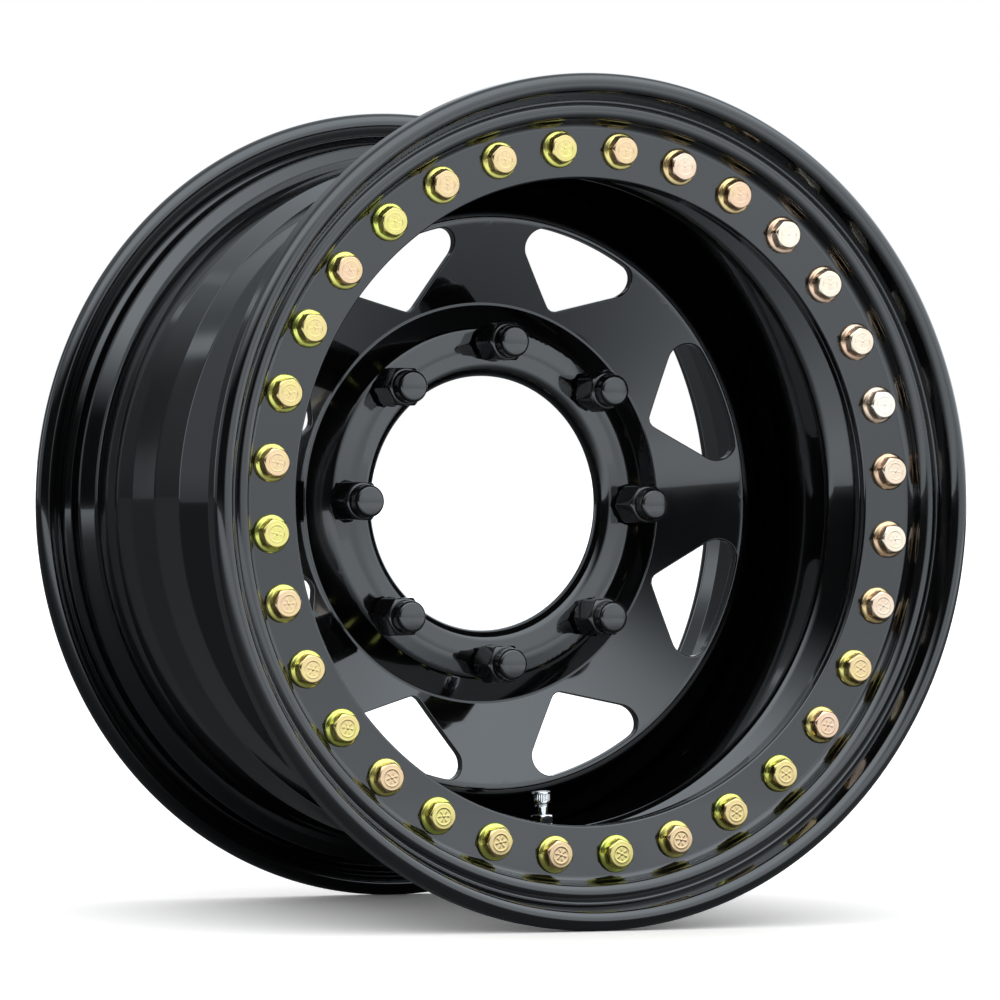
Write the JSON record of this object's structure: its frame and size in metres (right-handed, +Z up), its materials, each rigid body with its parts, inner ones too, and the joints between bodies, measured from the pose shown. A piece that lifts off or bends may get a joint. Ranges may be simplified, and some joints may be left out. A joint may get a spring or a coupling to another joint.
{
  "type": "beadlock wheel",
  "caption": "Steel off-road wheel with a bolted beadlock clamp ring, dished centre with rounded windows, lug nuts and a clamp-in valve.",
  "frame": {"origin": "centre of the hub bore, in the plane where the wheel seats on the hub", "axes": "+Y along the axle towards the vehicle, the wheel's face looks towards -Y, +Z up with the valve near the bottom"},
  "size_m": [0.4279, 0.237, 0.428],
  "materials": {
    "black_coat": "gloss black powder coat",
    "yellow_zinc": "yellow zinc plate with a faint rainbow sheen",
    "black_nut": "gloss black",
    "valve_chrome": "bright chrome plate",
    "core_brass": "turned brass",
    "seal_rubber": "moulded rubber",
    "seal_plastic": "white plastic sealing ring",
    "spring_steel": "drawn wire"
  },
  "bodies": {
    "wheel": {"barrel": "black_coat", "wheel_centre": "black_coat", "bead_ring": "black_coat", "clamp_ring": "black_coat", "beadlock_bolts": "yellow_zinc", "lug_nut_1": "black_nut", "lug_nut_2": "black_nut", "lug_nut_3": "black_nut", "lug_nut_4": "black_nut", "lug_nut_5": "black_nut", "lug_nut_6": "black_nut", "lug_nut_7": "black_nut", "lug_nut_8": "black_nut", "valve_stem": "valve_chrome", "valve_grommet": "seal_rubber", "valve_washer": "valve_chrome", "valve_nut": "valve_chrome", "core_body": "core_brass", "core_seal": "seal_plastic", "core_spring": "spring_steel"},
    "core_plunger": {"core_pin": "core_brass", "pin_seal": "seal_rubber"},
    "cap": {"valve_cap": "valve_chrome", "cap_seal": "seal_rubber"}
  },
  "joints": [
    {"name": "core_press", "type": "slide", "parent": "wheel", "child": "core_plunger", "axis": [0.0471, 0, -0.9989], "range_m": [0, 0.001], "stiffness_N_per_m": 400, "springref_m": -0.002, "deforming": ["core_spring"]},
    {"name": "cap_lift", "type": "slide", "parent": "wheel", "child": "cap", "axis": [-0.0471, 0, 0.9989], "range_m": [0, 0.012]}
  ]
}
